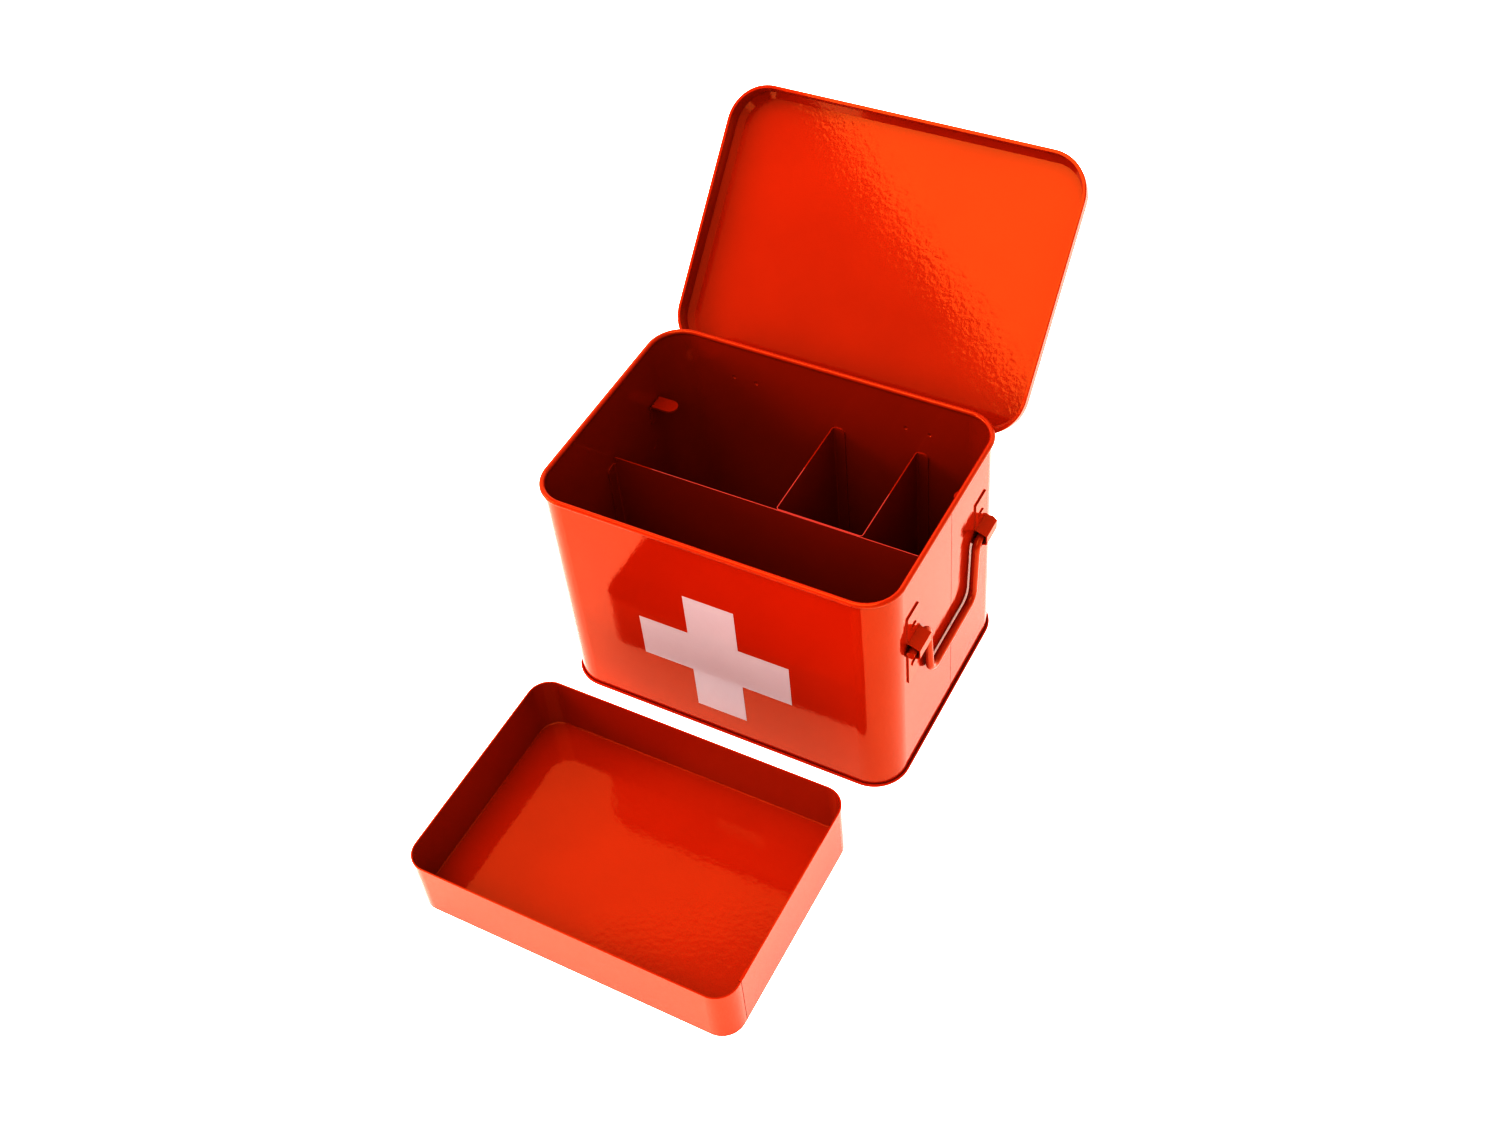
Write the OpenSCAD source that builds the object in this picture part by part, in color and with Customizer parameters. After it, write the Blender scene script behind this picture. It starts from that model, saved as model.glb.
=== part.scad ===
// Sheet-steel storage box with a hinged lid, a loose lift-out tray, two dividers
// and a bail handle on each end. Powder coated all over, with a plain white cross.
// Origin: centre of the box footprint, on the surface it stands on.
// +X is the box's right, +Y its hinge side, +Z up.
// Rest pose: the lid stands open, the handles hang, the tray lies in front.

/* [Box] */
// Width over the box wall
box_w = 215; // [205:1:225]
// Depth over the box wall
box_d = 153; // [145:1:160]
// Height to the top of the rolled rim
box_h = 158; // [150:1:165]
// Outer corner radius of the wall
box_r = 20; // [16:1:23]
// Thickness of the steel sheet
sheet = 0.8; // [0.7:0.1:0.9]
// Radius of the rolled rim
rim_r = 1.65; // [1.5:0.05:1.75]
// Height of the folded seam round the foot
foot_h = 1.9; // [1.7:0.1:2.6]

/* [Lid] */
// Height of the lid from its free edge to its top
lid_h = 14.8; // [14.2:0.1:15.4]
// Width of the slanting band between the lid's skirt and its top
lid_slant = 3.4; // [2.5:0.1:3.5]
// Angle between the closed lid and the lid as it stands open
lid_open = 133; // [90:1:135]

/* [Tray] */
// Width of the tray
tray_w = 200; // [190:1:202]
// Depth of the tray
tray_d = 140; // [130:1:142]
// Height of the tray
tray_h = 39; // [30:1:39]
// Outer corner radius of the tray
tray_r = 13; // [11:1:16]

/* [Dividers] */
// Height of the dividers' top edges above the ground
divider_top = 115; // [90:1:116]
// Left leg of the compartment divider
leg_left_x = 1.6; // [-20:0.1:10]
// Right leg of the compartment divider
leg_right_x = 55.3; // [40:0.1:70]

/* [Handles] */
// Radius of the handle rod
rod_r = 2.4; // [2:0.1:2.5]
// Height of the handle's pivot line
handle_z = 102; // [98:1:106]
// How far the grip hangs below the pivot line
handle_drop = 41; // [34:1:43]
// Distance of each bracket's middle from the centre plane
bracket_y = 45.2; // [44:0.1:50]
// Width of each bracket
bracket_w = 14.6; // [12:0.1:15]
// Height of each bracket
bracket_h = 53; // [46:1:56]

/* [Cross] */
// Overall size of the cross
cross_size = 95; // [80:1:100]
// Width of each arm of the cross
cross_arm = 32; // [26:1:34]
// Height of the cross's middle above the ground
cross_z = 66.5; // [60:0.5:75]

/* [Hidden] */
$fn = 64;
// How far a joined shape reaches into its neighbour, and a cutter past a surface
eps = 0.01;
over = 1;

// Box wall, rim and foot. A profile is drawn with x = 0 on the wall's outer face
// and x positive outwards.
rim_u = 0.1;
rim_z = box_h - rim_r;
rim_slit = 0.25;
wall_into_rim = 0.6;
foot_lip = 1.4;
foot_floor = 0.7;
pan_gap = 0.1;
floor_top = foot_h + sheet;
inner_x = box_w / 2 - sheet;
inner_y = box_d / 2 - sheet;
seam_y = 6;
lap_w = 8;
groove_w = 0.3;
groove_depth = 0.35;
groove_end = 0.2;
lap_foot = 0.1;
lap_head = 0.5;

// Spot-weld marks
weld_r = 1.5;
weld_depth = 0.25;
dimple_r = 1.9;
dimple_depth = 0.6;
oval_l = 6.5;
oval_w = 3;
oval_z = 14.7;
oval_rise = 0.6;

// Lid, described closed
lid_gap = 2.4;
lid_side_gap = 2.3;
lid_depth_gap = 2.7;
lid_corner_gap = 2.5;
lid_shift = -0.3;
lid_hem_r = 0.65;
hem_out = 1.1;
hem_notch = 0.6;
lid_in_w = box_w + 2 * lid_side_gap;
lid_in_d = box_d + 2 * lid_depth_gap;
lid_in_r = box_r + lid_corner_gap;
lid_top = box_h + lid_gap + sheet;
lid_edge_z = lid_top - lid_h;
lid_back_y = lid_in_d / 2 + lid_shift + sheet;

// Hinges
hinge_x = 56;
hinge_weld = 7.4;
body_weld_drop = 10.4;
lid_weld_rise = 8;
leaf_w = 28;
leaf_t = 1;
pin_r = 1;
pin_out = 2.5;
pin_drop = 16.6;
pin_y = box_d / 2 + pin_out;
pin_z = box_h - pin_drop;
knuckle_r = 2.1;
knuckle_w = 9.6;
knuckle_gap = 0.2;
body_bore_gap = 0.02;
lid_bore_gap = 0.05;
pin_head_r = 1.7;
pin_head_t = 0.6;
body_leaf_low = 18.4;
body_leaf_high = 2.4;
lid_leaf_low = 2.8;
lid_leaf_high = 13.2;
leaf_r = 2;
stop_gap = 0.05;
stop_t = 0.85;
stop_l = 5;

// Dividers
bend_r = 1.2;
flange_l = 7;
divider_y = 1.3;
flange_r = 3;
flange_drop = 5;
wall_gap = 0.05;

// Tray rests: bent tongues welded inside the wall
rest_top = 118;
rest_t = 1.2;
rest_l = 16.7;
rest_w = 10;
rest_leg = 14;
rest_y = 50;

// Handle brackets and handles
bracket_z = 100.5;
bracket_t = 0.75;
bracket_r = 1;
saddle_out = 7.6;
saddle_half = 3.2;
saddle_foot = 6.2;
rod_gap = 0.8;
pivot_x = box_w / 2 + rod_r + rod_gap;
rod_end = 2.6;
bend_top_r = 5;
bend_low_r = 8;
corner_top_y = 33.1;
corner_low_y = 29.6;
bend_lap = 0.3;
bend_swell = 0.02;

// Tray
tray_x = -1;
tray_y = -180.5;
tray_seam_y = -54.5;
tray_lap_head = 0.3;

cross_t = 0.12;

// Colours
coat = [0.80, 0.08, 0.03];
coat_dark = [0.62, 0.05, 0.03];
coat_light = [0.88, 0.20, 0.10];
print_white = [0.95, 0.84, 0.83];
steel = [0.70, 0.16, 0.12];

// ---------- shared shapes ----------

// A rectangle with round corners, centred on the origin.
module rounded_rect(w, d, r) {
    square([w, d - 2 * r], center = true);
    square([w - 2 * r, d], center = true);
    for (sx = [-1, 1], sy = [-1, 1])
        translate([sx * (w / 2 - r), sy * (d / 2 - r)]) circle(r);
}

// One straight side of a rolled section, of the given length, at +X.
module straight_side(half, length) {
    translate([half, length / 2, 0]) rotate([90, 0, 0]) linear_extrude(length) children();
}

// Runs a section round a rounded rectangle. The section's x = 0 lies on its outline.
module run_round(w, d, r) {
    for (turn = [0, 180]) rotate(turn) straight_side(w / 2, d - 2 * r) children();
    for (turn = [90, 270]) rotate(turn) straight_side(d / 2, w - 2 * r) children();
    for (sx = [-1, 1], sy = [-1, 1])
        translate([sx * (w / 2 - r), sy * (d / 2 - r), 0])
            rotate(sx > 0 ? (sy > 0 ? 0 : 270) : (sy > 0 ? 90 : 180))
                rotate_extrude(angle = 90) translate([r, 0]) children();
}

// A quarter ring for a sheet bent through a right angle, from +x towards +y.
module quarter_ring(inner, t = sheet) {
    intersection() {
        difference() {
            circle(inner + t);
            circle(inner);
        }
        square(inner + t + over);
    }
}

// A shape and its mirror image across the box's middle.
module both_ends() {
    children();
    mirror([1, 0, 0]) children();
}

// A plate lying in the XZ plane against y = 0, growing towards +y, its corners round.
module upright_plate(w, z0, z1, t, r) {
    translate([0, t, (z0 + z1) / 2]) rotate([90, 0, 0])
        linear_extrude(t) rounded_rect(w, z1 - z0, r);
}

// A bent sheet's end flange: a plate with its two free corners round.
module flange_outline(l, h, r) {
    square([l - r, h]);
    translate([0, r]) square([l, h - 2 * r]);
    for (z = [r, h - r]) translate([l - r, z]) circle(r);
}

// An oval for a weld mark, its long axis along x.
module oval() {
    square([oval_l - oval_w, oval_w], center = true);
    for (s = [-1, 1]) translate([s * (oval_l - oval_w) / 2, 0]) circle(oval_w / 2);
}

// Both oval marks of a bracket, running along +X from x = 0.
module oval_marks(depth) {
    for (s = [-1, 1])
        translate([0, 0, bracket_z + s * oval_z]) rotate([0, 90, 0]) rotate(90)
            linear_extrude(depth) oval();
}

// Turns a shape described with the lid closed to where the open lid stands.
module lid_pose() {
    translate([0, pin_y, pin_z]) rotate([-lid_open, 0, 0])
        translate([0, -pin_y, -pin_z]) children();
}

// ---------- box ----------

module rim_section() {
    difference() {
        translate([rim_u, rim_z]) circle(rim_r);
        translate([rim_u, rim_z]) circle(rim_r - sheet);
        translate([0, rim_z - rim_r - over]) square([rim_slit, rim_r + over]);
    }
    translate([-sheet, foot_floor])
        square([sheet, rim_z - rim_r + wall_into_rim - foot_floor]);
}

module body_wall() color(coat) {
    weld_z = pin_z - body_weld_drop;
    difference() {
        run_round(box_w, box_d, box_r) rim_section();
        // outer edge of the lap seam
        translate([box_w / 2 - groove_depth, seam_y - groove_w, foot_h + groove_end])
            cube([groove_depth + over, groove_w, rim_z - rim_r - foot_h - 2 * groove_end]);
        // round spot-weld dimples of the hinges, inside the back wall
        for (sx = [-1, 1], sw = [-1, 1])
            translate([sx * hinge_x + sw * hinge_weld, inner_y + dimple_depth - dimple_r, weld_z])
                sphere(dimple_r);
        // spot-weld marks of the brackets, inside the end walls
        for (sy = [-1, 1])
            both_ends() translate([inner_x + weld_depth - over, sy * bracket_y, 0])
                oval_marks(over);
    }
    // the inner end of the sheet, lapped behind the seam
    translate([inner_x - sheet, seam_y, floor_top + lap_foot])
        cube([sheet + eps, lap_w, rim_z - rim_r - floor_top - lap_foot - lap_head]);
}

module foot_section() {
    translate([-2 * sheet - pan_gap, 0]) square([sheet, floor_top]);
    translate([-2 * sheet - pan_gap, 0]) square([2 * sheet + pan_gap + foot_lip / 2, foot_floor]);
    translate([pan_gap / 2, foot_lip / 2]) square([foot_lip, foot_h - foot_lip]);
    for (z = [foot_lip / 2, foot_h - foot_lip / 2])
        translate([pan_gap / 2 + foot_lip / 2, z]) circle(foot_lip / 2);
}

module base_panel() color(coat_dark) {
    inset = sheet + 2 * pan_gap;
    run_round(box_w, box_d, box_r) foot_section();
    translate([0, 0, foot_h]) linear_extrude(sheet)
        rounded_rect(box_w - 2 * inset, box_d - 2 * inset, box_r - inset);
}

module front_cross() color(print_white) {
    translate([0, -box_d / 2, cross_z]) rotate([90, 0, 0]) linear_extrude(cross_t) {
        square([cross_size, cross_arm], center = true);
        square([cross_arm, cross_size], center = true);
    }
}

// Across the box from wall to wall. Its end flanges, turned forwards on the walls, stop
// a little below its top edge.
module long_divider() color(coat_dark) {
    half = inner_x - wall_gap;
    low_y = divider_y - sheet / 2;
    height = divider_top - floor_top;
    straight = half - bend_r - sheet;
    translate([0, 0, floor_top]) {
        translate([-straight, low_y, 0]) cube([2 * straight, sheet, height]);
        both_ends() {
            translate([straight, low_y - bend_r, 0])
                linear_extrude(height - flange_drop) quarter_ring(bend_r);
            translate([half, low_y - bend_r, 0]) rotate([90, 0, -90])
                linear_extrude(sheet)
                    flange_outline(flange_l - bend_r, height - flange_drop, flange_r);
        }
    }
}

// One leg of the compartment divider, from the web's bend to the back wall, with a
// flange turned to +X on the wall. x is the leg's left face.
module divider_leg(x, from_y, back_y, height) {
    bend_x = x + sheet + bend_r;
    bend_y = back_y - sheet - bend_r;
    linear_extrude(height) {
        translate([x, from_y]) square([sheet, bend_y - from_y]);
        translate([bend_x, bend_y]) mirror([1, 0]) quarter_ring(bend_r);
    }
    translate([bend_x, back_y, 0]) rotate([90, 0, 0])
        linear_extrude(sheet) flange_outline(flange_l - bend_r, height, flange_r);
}

// A sheet bent to a U: its web lies on the long divider, its legs reach the back wall.
module compartment_divider() color(coat_dark) {
    web_y = divider_y + sheet / 2;
    left_x = leg_left_x - sheet / 2;
    right_x = leg_right_x - sheet / 2;
    turn = bend_r + sheet;
    height = divider_top - floor_top;
    translate([0, 0, floor_top]) {
        linear_extrude(height) {
            translate([left_x + turn, web_y]) square([right_x + sheet - left_x - 2 * turn, sheet]);
            translate([left_x + turn, web_y + turn]) rotate(180) quarter_ring(bend_r);
            translate([right_x + sheet - turn, web_y + turn]) rotate(270) quarter_ring(bend_r);
        }
        for (x = [left_x, right_x])
            divider_leg(x, web_y + turn, inner_y - wall_gap, height);
    }
}

// A bent tongue on a wall whose inner face is x = 0, its top at z = 0, reaching to +x.
module tray_rest() {
    turn = bend_r + rest_t;
    translate([0, 0, -rest_t]) linear_extrude(rest_t) {
        translate([turn, -rest_w / 2]) square([rest_l - rest_w / 2 - turn, rest_w]);
        translate([rest_l - rest_w / 2, 0]) circle(rest_w / 2);
    }
    translate([turn, rest_w / 2, -turn]) rotate([90, 0, 0])
        linear_extrude(rest_w) mirror([1, 0]) quarter_ring(bend_r, rest_t);
    translate([0, -rest_w / 2, -rest_leg]) cube([rest_t, rest_w, rest_leg - turn]);
}

module tray_rest_left() color(coat_dark)
    translate([-inner_x, rest_y, rest_top]) tray_rest();
module tray_rest_right() color(coat_dark)
    translate([inner_x, rest_y, rest_top]) rotate(180) tray_rest();
module tray_rest_front() color(coat_dark)
    translate([0, -inner_y, rest_top]) rotate(90) tray_rest();

// ---------- hinges ----------

// A cylinder along x between two x values, on the hinge's pin line.
module on_pin_line(x0, x1, r) {
    translate([x0, pin_y, pin_z]) rotate([0, 90, 0]) cylinder(r = r, h = x1 - x0);
}

// Two round weld marks side by side, cut into a leaf's outer face.
module leaf_welds(face_y, z) {
    for (s = [-1, 1])
        translate([s * hinge_weld, face_y + over - weld_depth, z])
            rotate([90, 0, 0]) cylinder(r = weld_r, h = over);
}

module body_leaf() {
    back_y = box_d / 2;
    low = pin_z - body_leaf_low;
    high = pin_z - body_leaf_high;
    ear_from = knuckle_w / 2 + knuckle_gap;
    ear_w = leaf_w / 2 - ear_from;
    difference() {
        union() {
            translate([0, back_y, 0]) upright_plate(leaf_w, low, high, leaf_t, leaf_r);
            both_ends() {
                translate([ear_from, back_y, high - leaf_r])
                    cube([ear_w, leaf_t, pin_z - high + leaf_r]);
                on_pin_line(ear_from, leaf_w / 2, knuckle_r);
            }
        }
        on_pin_line(-leaf_w, leaf_w, pin_r + body_bore_gap);
        leaf_welds(back_y + leaf_t, pin_z - body_weld_drop);
    }
}

// The lid's leaf, as it lies with the lid closed. Its stop tab meets the body leaf
// when the lid stands open.
module lid_leaf() {
    tab_y = box_d / 2 + leaf_t + stop_gap - pin_y;
    difference() {
        union() {
            translate([0, lid_back_y, 0])
                upright_plate(leaf_w, pin_z + lid_leaf_low, pin_z + lid_leaf_high, leaf_t, leaf_r);
            translate([-knuckle_w / 2, lid_back_y, pin_z])
                cube([knuckle_w, leaf_t, lid_leaf_low + leaf_r]);
            on_pin_line(-knuckle_w / 2, knuckle_w / 2, knuckle_r);
            translate([0, pin_y, pin_z]) rotate([lid_open, 0, 0])
                translate([-knuckle_w / 2, tab_y, -stop_l]) cube([knuckle_w, stop_t, stop_l]);
        }
        on_pin_line(-leaf_w, leaf_w, pin_r + lid_bore_gap);
        leaf_welds(lid_back_y + leaf_t, pin_z + lid_weld_rise);
    }
}

module hinge_pin() {
    on_pin_line(-leaf_w / 2, leaf_w / 2, pin_r);
    both_ends() on_pin_line(leaf_w / 2, leaf_w / 2 + pin_head_t, pin_head_r);
}

module hinge_left_body_leaf() color(coat) translate([-hinge_x, 0, 0]) body_leaf();
module hinge_right_body_leaf() color(coat) translate([hinge_x, 0, 0]) body_leaf();
module hinge_left_pin() color(steel) translate([-hinge_x, 0, 0]) hinge_pin();
module hinge_right_pin() color(steel) translate([hinge_x, 0, 0]) hinge_pin();
module hinge_left_lid_leaf() color(coat) lid_pose() translate([-hinge_x, 0, 0]) lid_leaf();
module hinge_right_lid_leaf() color(coat) lid_pose() translate([hinge_x, 0, 0]) lid_leaf();

// ---------- lid ----------

// x = 0 on the skirt's inner face. The sheet goes up the skirt and over a slanting band
// of 45 degrees to the top.
module lid_section() {
    hem_x = sheet + hem_out - lid_hem_r;
    under_top = lid_top - sheet;
    outer_shift = sheet * tan(45 / 2);
    polygon([
        [0, lid_edge_z], [sheet, lid_edge_z],
        [sheet, under_top - lid_slant + outer_shift], [outer_shift - lid_slant, lid_top],
        [-lid_slant - eps, lid_top], [-lid_slant - eps, under_top],
        [-lid_slant, under_top], [0, under_top - lid_slant]
    ]);
    translate([0, lid_edge_z]) square([hem_x, lid_hem_r]);
    translate([hem_x, lid_edge_z + lid_hem_r]) circle(lid_hem_r);
}

module lid_shell() color(coat_light) lid_pose() difference() {
    translate([0, lid_shift, 0]) {
        run_round(lid_in_w, lid_in_d, lid_in_r) lid_section();
        translate([0, 0, lid_top - sheet]) linear_extrude(sheet)
            rounded_rect(lid_in_w - 2 * lid_slant, lid_in_d - 2 * lid_slant, lid_in_r - lid_slant);
    }
    // the hem is flattened away behind each hinge leaf
    for (sx = [-1, 1])
        translate([sx * hinge_x - leaf_w / 2 - hem_notch, lid_back_y, lid_edge_z - over])
            cube([leaf_w + 2 * hem_notch, hem_out + over, 2 * lid_hem_r + over + hem_notch]);
}

// ---------- handles ----------

// A rod along +x, bent in the XY plane after each run, by bends in degrees. The bends
// are swollen by a hair, as a bent rod is, and the straight runs reach into them.
module bent_rod(r, runs, bends, radii, i = 0) {
    before = i > 0 ? bend_lap : 0;
    after = i < len(bends) ? bend_lap : 0;
    translate([-before, 0, 0]) rotate([0, 90, 0])
        cylinder(r = r, h = before + runs[i] + after);
    if (i < len(bends)) {
        side = bends[i] > 0 ? 1 : -1;
        translate([runs[i], side * radii[i], 0]) {
            rotate(side > 0 ? -90 : 90 + bends[i])
                rotate_extrude(angle = abs(bends[i]))
                    translate([radii[i], 0]) circle(r + bend_swell);
            rotate(bends[i]) translate([0, -side * radii[i], 0])
                bent_rod(r, runs, bends, radii, i + 1);
        }
    }
}

// The right end's handle, hanging.
module handle() {
    bend = 90 - atan((corner_top_y - corner_low_y) / handle_drop);
    cut_top = bend_top_r * tan(bend / 2);
    cut_low = bend_low_r * tan(bend / 2);
    end_y = bracket_y + bracket_w / 2 + rod_end;
    axle = end_y - corner_top_y - cut_top;
    arm = norm([corner_top_y - corner_low_y, handle_drop]) - cut_top - cut_low;
    grip = 2 * (corner_low_y - cut_low);
    translate([pivot_x, end_y, handle_z]) rotate([-90, 0, -90])
        bent_rod(rod_r, [axle, arm, grip, arm, axle], [bend, -bend, -bend, bend],
                 [bend_top_r, bend_low_r, bend_low_r, bend_top_r]);
}

// The side view of a strap's pressed-out fold, x away from the wall.
module fold_section(foot, out, half) {
    polygon([[0, -foot], [out, -half], [out, half], [0, foot]]);
}

// A bracket on a wall whose outer face is x = 0: a strap pressed out round the rod,
// with a flat outer face, so that the rod lies loose between the strap and the wall. Its
// two oval weld marks stand proud.
module handle_bracket() {
    inner_foot = saddle_foot - bracket_t;
    difference() {
        union() {
            translate([0, 0, bracket_z]) rotate([90, 0, 90])
                linear_extrude(bracket_t) rounded_rect(bracket_w, bracket_h, bracket_r);
            translate([eps, bracket_w / 2, handle_z]) rotate([90, 0, 0]) linear_extrude(bracket_w)
                fold_section(saddle_foot, saddle_out - eps, saddle_half);
        }
        translate([0, bracket_w, handle_z]) rotate([90, 0, 0]) linear_extrude(2 * bracket_w) {
            fold_section(inner_foot, saddle_out - bracket_t, saddle_half - bracket_t / 2);
            translate([-over, -inner_foot]) square([over, 2 * inner_foot]);
        }
    }
    translate([bracket_t - eps, 0, 0]) oval_marks(oval_rise + eps);
}

module right_bracket(side) translate([box_w / 2, side * bracket_y, 0]) handle_bracket();

module right_front_bracket() color(coat) right_bracket(-1);
module right_rear_bracket() color(coat) right_bracket(1);
module left_front_bracket() color(coat) mirror([1, 0, 0]) right_bracket(-1);
module left_rear_bracket() color(coat) mirror([1, 0, 0]) right_bracket(1);
module right_handle() color(coat) handle();
module left_handle() color(coat) mirror([1, 0, 0]) handle();

// ---------- tray ----------

// The wall is a ring of upright sheet that stands on the floor sheet.
module tray_wall() color(coat_light) translate([tray_x, tray_y, 0]) {
    wall_h = tray_h - sheet;
    difference() {
        run_round(tray_w, tray_d, tray_r)
            translate([-sheet, sheet]) square([sheet, wall_h]);
        // outer edge of the lap seam
        translate([tray_w / 2 - groove_depth, tray_seam_y - groove_w, sheet - over])
            cube([groove_depth + over, groove_w, wall_h + 2 * over]);
    }
    // the inner end of the sheet, lapped behind the seam
    translate([tray_w / 2 - 2 * sheet, tray_seam_y, sheet + lap_foot])
        cube([sheet + eps, lap_w, wall_h - lap_foot - tray_lap_head]);
}

module tray_base() color(coat) translate([tray_x, tray_y, 0])
    linear_extrude(sheet) rounded_rect(tray_w, tray_d, tray_r);

body_wall();
base_panel();
front_cross();
long_divider();
compartment_divider();
tray_rest_left();
tray_rest_right();
tray_rest_front();
hinge_left_body_leaf();
hinge_right_body_leaf();
hinge_left_pin();
hinge_right_pin();
right_front_bracket();
right_rear_bracket();
left_front_bracket();
left_rear_bracket();
lid_shell();
hinge_left_lid_leaf();
hinge_right_lid_leaf();
right_handle();
left_handle();
tray_wall();
tray_base();
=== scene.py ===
"""Looks of a red powder-coated steel box with a lift-out tray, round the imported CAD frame."""

import math

import bmesh
import bpy
from mathutils import Matrix, Vector


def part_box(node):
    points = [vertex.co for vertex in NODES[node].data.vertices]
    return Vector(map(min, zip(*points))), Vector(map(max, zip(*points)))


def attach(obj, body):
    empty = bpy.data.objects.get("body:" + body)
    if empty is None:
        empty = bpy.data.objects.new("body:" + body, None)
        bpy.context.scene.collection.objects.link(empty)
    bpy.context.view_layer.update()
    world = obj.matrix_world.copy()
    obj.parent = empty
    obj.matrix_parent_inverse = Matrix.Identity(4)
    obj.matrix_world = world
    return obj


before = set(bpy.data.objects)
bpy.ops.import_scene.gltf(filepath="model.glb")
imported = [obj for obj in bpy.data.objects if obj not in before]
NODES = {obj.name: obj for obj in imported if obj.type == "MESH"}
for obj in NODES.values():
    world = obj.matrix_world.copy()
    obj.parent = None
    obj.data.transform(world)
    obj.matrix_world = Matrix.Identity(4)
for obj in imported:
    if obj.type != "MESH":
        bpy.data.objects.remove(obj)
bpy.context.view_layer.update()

# Camera, in metres
CAMERA_AT = Vector((0.3660, -0.5967, 0.8349))
CAMERA_FORWARD = Vector((-0.3668, 0.5688, -0.7362))
CAMERA_RIGHT = Vector((0.8807, 0.4674, -0.0777))
LENS = 42.57
SENSOR = 36
CLIP_NEAR, CLIP_FAR = 0.01, 50

# The studio stands square to the camera: these are its right and its depth on the floor
STUDIO_TURN = math.radians(32.8)
STUDIO_RIGHT = Vector((math.cos(STUDIO_TURN), math.sin(STUDIO_TURN), 0))
STUDIO_BACK = Vector((-math.sin(STUDIO_TURN), math.cos(STUDIO_TURN), 0))

FLOOR_SIZE = 8
FLOOR_WHITE = (0.60, 0.60, 0.595, 1)
FLOOR_GLOW = 1.45
FLOOR_ROUGHNESS = 0.7
FLOOR_SPECULAR = 0.1

SOFTBOX_HEIGHT = 1.5
SOFTBOX_RIGHT = (-1.13, 0.3)
SOFTBOX_BACK = (-1.4, 0.35)
SOFTBOX_RADIANCE = 3.6

SIDE_LIGHT_AT = (-1.8, 0, 0.8)
SIDE_LIGHT_SIZE = (1.2, 0.8)
SIDE_LIGHT_RADIANCE = 6
SIDE_LIGHT_AIM = Vector((0, 0, 0.05))

SKY = 1.28
SKY_BACK = 2.6
# the backdrop's top edge stands 59.6 degrees above the floor
BACKDROP_SLOPE = math.tan(math.radians(59.6))
BACKDROP_EDGE = 0.03

# A hard print: the darks are pressed together
CONTRAST_GAMMA = 0.5

# Linear base colours. DEEP is the darker one that a slow noise mixes in.
RED = (0.42, 0.040, 0.0020)
RED_DEEP = (0.395, 0.035, 0.0016)
# The rod reds are the coat's red made about a tenth lighter: painted light on the handles and
# brackets, standing in for light the lamps don't give them.
ROD_LIT_RED = (0.46, 0.046, 0.0022)
ROD_LIT_RED_DEEP = (0.43, 0.040, 0.0018)
PRINT = (0.51, 0.43, 0.43)
PRINT_DEEP = (0.49, 0.41, 0.415)

# The colour of the coat's reflections: in general, on the dividers and on the floor panel
COAT_TINT = (1.0, 0.66, 0.20, 1)
EDGE_TINT = (1.0, 0.85, 0.95, 1)
BASE_TINT = (1.0, 0.22, 0.08, 1)
COAT_IOR = 1.65

# Orange peel and the slower waves under it: features per metre, and depth in metres
PEEL_SCALE = 330
PEEL_DEPTH = 4.5e-5
WAVE_SCALE = 110
WAVE_DEPTH = 1.5e-5
WAVE_DETAIL = 1.0

# Slow drift of colour and of gloss: features per metre, and how fine they break up
COAT_DRIFT_SCALE, PRINT_DRIFT_SCALE = 16, 22
COAT_SHEEN_SCALE, PRINT_SHEEN_SCALE = 70, 90
DRIFT_DETAIL = 3.0
COAT_DRIFT_BREAKUP = 0.55
COAT_ROUGHNESS = (0.05, 0.085)
PRINT_ROUGHNESS = (0.09, 0.14)

# The middle range of a noise, which is spread over the whole of what it drives
NOISE_LOW, NOISE_HIGH = 0.3, 0.7

# How far each piece's pattern is moved from the one before, so that no two are alike
PATTERN_STEP = (0.37, 0.21, 0.13)
PRINT_OFFSET = (0.4, 0.1, 0.3)

# Where a colour Mix node keeps its two colours and its result
MIX_LOW, MIX_HIGH, MIX_RESULT = 6, 7, 2

# The coat's bead round the tray's floor. The corner and sheet are the CAD tray's, in metres.
BEAD = 0.0007
BEAD_STEPS = 4
TRAY_CORNER = 0.013
TRAY_SHEET = 0.0008
CORNER_STEPS = 12


# ---------- materials ----------


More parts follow.
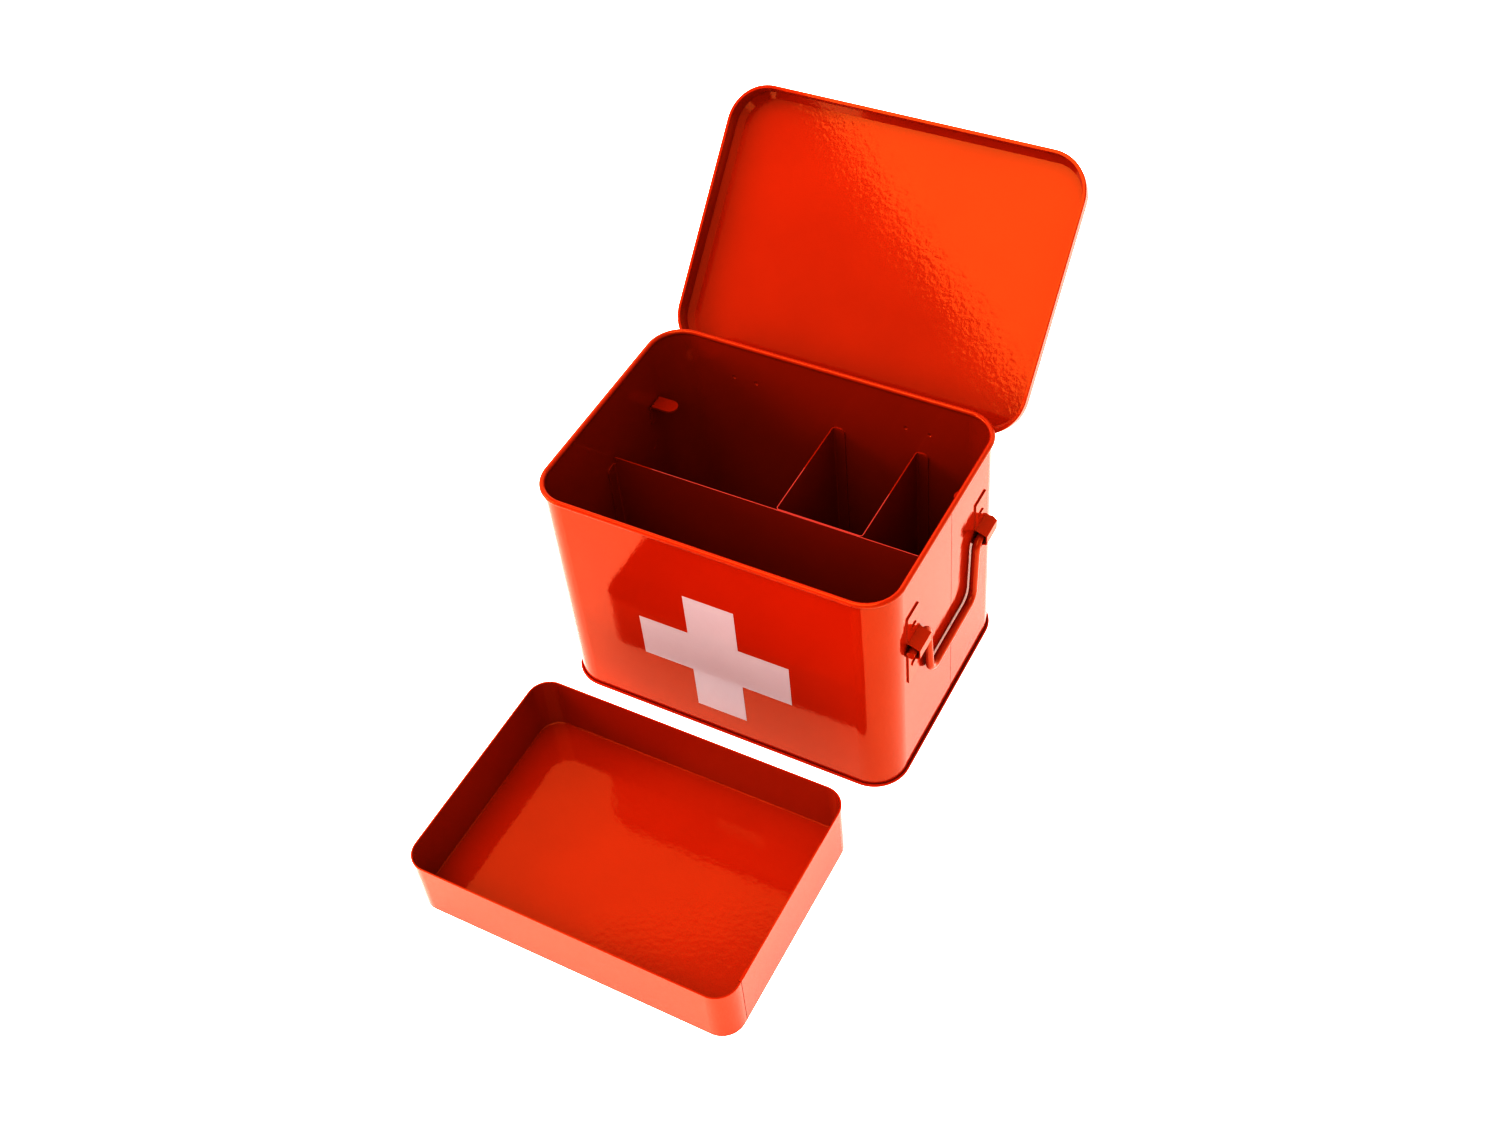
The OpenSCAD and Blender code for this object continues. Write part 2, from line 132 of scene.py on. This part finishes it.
class Graph:
    """A short way to add and link shader nodes."""

    def __init__(self, name):
        self.material = bpy.data.materials.new(name)
        self.material.use_nodes = True
        self.tree = self.material.node_tree
        self.tree.nodes.clear()

    def add(self, kind, **settings):
        node = self.tree.nodes.new(kind)
        for key, value in settings.items():
            if hasattr(node, key):
                setattr(node, key, value)
            else:
                node.inputs[key].default_value = value
        return node

    def link(self, source, output, target, socket):
        self.tree.links.new(source.outputs[output], target.inputs[socket])

    def noise(self, place, scale, detail=2.0, rough=0.5):
        node = self.add("ShaderNodeTexNoise", Scale=scale, Detail=detail, Roughness=rough)
        self.link(place, "Vector", node, "Vector")
        return node

    def spread(self, noise, low, high):
        """A noise's middle range mapped on low to high."""
        node = self.add("ShaderNodeMapRange")
        values = {"From Min": NOISE_LOW, "From Max": NOISE_HIGH, "To Min": low, "To Max": high}
        for key, value in values.items():
            node.inputs[key].default_value = value
        self.link(noise, "Fac", node, "Value")
        return node

    def blend(self, factor, low, high):
        node = self.add("ShaderNodeMix", data_type="RGBA")
        node.inputs[MIX_LOW].default_value = (*low, 1)
        node.inputs[MIX_HIGH].default_value = (*high, 1)
        self.link(factor, "Result", node, "Factor")
        return node

    def place(self, offset):
        coords = self.add("ShaderNodeTexCoord")
        move = self.add("ShaderNodeMapping")
        move.inputs["Location"].default_value = offset
        self.link(coords, "Object", move, "Vector")
        return move

    def bump(self, noise, distance, before=None):
        node = self.add("ShaderNodeBump", Distance=distance, Strength=1.0)
        self.link(noise, "Fac", node, "Height")
        if before is not None:
            self.link(before, "Normal", node, "Normal")
        return node

    def finish(self, shader):
        out = self.add("ShaderNodeOutputMaterial")
        self.link(shader, "BSDF", out, "Surface")
        return self.material


def coat(name, seed, colours=(RED, RED_DEEP), tint=COAT_TINT):
    """Glossy powder coat: a fine orange peel on slower waves, with a slow drift of colour."""
    g = Graph(name)
    place = g.place([seed * step for step in PATTERN_STEP])
    waves = g.noise(place, WAVE_SCALE, WAVE_DETAIL)
    peel = g.noise(place, PEEL_SCALE)
    drift = g.noise(place, COAT_DRIFT_SCALE, DRIFT_DETAIL, COAT_DRIFT_BREAKUP)
    sheen = g.noise(place, COAT_SHEEN_SCALE)
    tone = g.blend(g.spread(drift, 0, 1), *colours)
    gloss = g.spread(sheen, *COAT_ROUGHNESS)
    skin = g.bump(peel, PEEL_DEPTH, g.bump(waves, WAVE_DEPTH))
    shader = g.add("ShaderNodeBsdfPrincipled")
    shader.inputs["Specular Tint"].default_value = tint
    shader.inputs["IOR"].default_value = COAT_IOR
    g.link(tone, MIX_RESULT, shader, "Base Color")
    g.link(gloss, "Result", shader, "Roughness")
    g.link(skin, "Normal", shader, "Normal")
    return g.finish(shader)


def printed(name):
    """Thin white print: the coat's orange peel shows through, a little duller."""
    g = Graph(name)
    place = g.place(PRINT_OFFSET)
    peel = g.noise(place, PEEL_SCALE)
    drift = g.noise(place, PRINT_DRIFT_SCALE, DRIFT_DETAIL)
    sheen = g.noise(place, PRINT_SHEEN_SCALE)
    tone = g.blend(g.spread(drift, 0, 1), PRINT, PRINT_DEEP)
    gloss = g.spread(sheen, *PRINT_ROUGHNESS)
    shader = g.add("ShaderNodeBsdfPrincipled")
    g.link(tone, MIX_RESULT, shader, "Base Color")
    g.link(gloss, "Result", shader, "Roughness")
    g.link(g.bump(peel, PEEL_DEPTH), "Normal", shader, "Normal")
    return g.finish(shader)


def floor_material():
    g = Graph("studio_floor")
    shader = g.add("ShaderNodeBsdfPrincipled")
    shader.inputs["Base Color"].default_value = FLOOR_WHITE
    shader.inputs["Roughness"].default_value = FLOOR_ROUGHNESS
    shader.inputs["Specular IOR Level"].default_value = FLOOR_SPECULAR
    shader.inputs["Emission Color"].default_value = (1, 1, 1, 1)
    shader.inputs["Emission Strength"].default_value = FLOOR_GLOW
    return g.finish(shader)


def dress():
    """Gives every CAD node its own copy of the coat, so that no pattern runs on."""
    for i, (name, obj) in enumerate(sorted(NODES.items())):
        if name == "front_cross":
            material = printed("white_print")
        elif name.endswith(("handle", "bracket")):
            # handles and brackets take the lighter rod reds: painted light on the same coat
            material = coat("coat_" + name, i + 1, (ROD_LIT_RED, ROD_LIT_RED_DEEP))
        elif name.endswith("divider"):
            material = coat("coat_" + name, i + 1, tint=EDGE_TINT)
        elif name == "base_panel":
            material = coat("coat_" + name, i + 1, tint=BASE_TINT)
        else:
            material = coat("coat_" + name, i + 1)
        obj.data.materials.clear()
        obj.data.materials.append(material)


# ---------- shapes ----------


def tray_bead():
    """A thin cove of coat all round the tray, where its floor meets the wall."""
    low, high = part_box("tray_wall")
    floor_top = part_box("tray_base")[1][2]
    middle = Vector(((low[0] + high[0]) / 2, (low[1] + high[1]) / 2, floor_top))
    half_x = (high[0] - low[0]) / 2 - TRAY_SHEET
    half_y = (high[1] - low[1]) / 2 - TRAY_SHEET
    radius = TRAY_CORNER - TRAY_SHEET
    section = [(0, 0)]
    for k in range(BEAD_STEPS + 1):
        turn = math.pi / 2 * k / BEAD_STEPS
        section.append((BEAD - BEAD * math.sin(turn), BEAD - BEAD * math.cos(turn)))
    mesh = bmesh.new()
    rings = []
    for sx, sy, start in ((1, 1, 0), (-1, 1, 90), (-1, -1, 180), (1, -1, 270)):
        centre = Vector((sx * (half_x - radius), sy * (half_y - radius), 0))
        for k in range(CORNER_STEPS + 1):
            angle = math.radians(start + 90 * k / CORNER_STEPS)
            out = Vector((math.cos(angle), math.sin(angle), 0))
            rings.append(
                [
                    mesh.verts.new(middle + centre + out * (radius - inward) + Vector((0, 0, up)))
                    for inward, up in section
                ]
            )
    for one, two in zip(rings, rings[1:] + rings[:1]):
        for k in range(len(section)):
            n = (k + 1) % len(section)
            mesh.faces.new((one[k], one[n], two[n], two[k])).smooth = 0 < k < len(section) - 1
    bmesh.ops.recalc_face_normals(mesh, faces=mesh.faces)
    data = bpy.data.meshes.new("tray_floor_bead")
    mesh.to_mesh(data)
    mesh.free()
    bead = bpy.data.objects.new("tray_floor_bead", data)
    bpy.context.scene.collection.objects.link(bead)
    data.materials.append(coat("coat_bead", len(NODES) + 1))
    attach(bead, "tray")


# ---------- studio ----------


def studio_point(right, back, up):
    return STUDIO_RIGHT * right + STUDIO_BACK * back + Vector((0, 0, up))


def make_floor():
    bpy.ops.mesh.primitive_plane_add(size=FLOOR_SIZE)
    floor = bpy.context.object
    floor.name = "studio_floor"
    floor.data.materials.append(floor_material())


def area_light(name, wide, deep, radiance, at):
    data = bpy.data.lights.new(name, "AREA")
    data.shape = "RECTANGLE"
    data.size, data.size_y = wide, deep
    data.energy = radiance * math.pi * wide * deep
    lamp = bpy.data.objects.new(name, data)
    bpy.context.scene.collection.objects.link(lamp)
    lamp.location = at
    return lamp


def make_lights():
    wide = SOFTBOX_RIGHT[1] - SOFTBOX_RIGHT[0]
    deep = SOFTBOX_BACK[1] - SOFTBOX_BACK[0]
    middle = studio_point(sum(SOFTBOX_RIGHT) / 2, sum(SOFTBOX_BACK) / 2, SOFTBOX_HEIGHT)
    softbox = area_light("softbox", wide, deep, SOFTBOX_RADIANCE, middle)
    softbox.rotation_euler = (0, 0, STUDIO_TURN)
    side = area_light(
        "side_light", *SIDE_LIGHT_SIZE, SIDE_LIGHT_RADIANCE, studio_point(*SIDE_LIGHT_AT)
    )
    side.rotation_euler = (SIDE_LIGHT_AIM - side.location).to_track_quat("-Z", "Y").to_euler()


def make_sky():
    """A plain white room, brighter on the backdrop behind the object."""
    world = bpy.data.worlds.new("studio")
    bpy.context.scene.world = world
    world.use_nodes = True
    tree = world.node_tree
    tree.nodes.clear()
    new, link = tree.nodes.new, tree.links.new
    coords = new("ShaderNodeTexCoord")
    # how far a direction lies below the backdrop's slanting top edge
    below = new("ShaderNodeVectorMath")
    below.operation = "DOT_PRODUCT"
    below.inputs[1].default_value = STUDIO_BACK * BACKDROP_SLOPE - Vector((0, 0, 1))
    link(coords.outputs["Generated"], below.inputs[0])
    ramp = new("ShaderNodeMapRange")
    ramp.interpolation_type = "SMOOTHSTEP"
    values = {"From Min": 0, "From Max": BACKDROP_EDGE, "To Min": SKY, "To Max": SKY_BACK}
    for key, value in values.items():
        ramp.inputs[key].default_value = value
    link(below.outputs["Value"], ramp.inputs["Value"])
    shade = new("ShaderNodeBackground")
    link(ramp.outputs["Result"], shade.inputs["Strength"])
    out = new("ShaderNodeOutputWorld")
    link(shade.outputs[0], out.inputs[0])


def make_camera():
    data = bpy.data.cameras.new("camera")
    data.lens, data.sensor_width = LENS, SENSOR
    data.clip_start, data.clip_end = CLIP_NEAR, CLIP_FAR
    camera = bpy.data.objects.new("camera", data)
    bpy.context.scene.collection.objects.link(camera)
    back = -CAMERA_FORWARD.normalized()
    right = (CAMERA_RIGHT - CAMERA_RIGHT.dot(back) * back).normalized()
    turn = Matrix((right, back.cross(right), back)).transposed()
    camera.matrix_world = Matrix.Translation(CAMERA_AT) @ turn.to_4x4()
    bpy.context.scene.camera = camera


# ---------- the scene ----------

dress()
tray_bead()
make_floor()
make_lights()
make_sky()
make_camera()
bpy.context.scene.view_settings.view_transform = "Standard"
bpy.context.scene.view_settings.gamma = CONTRAST_GAMMA
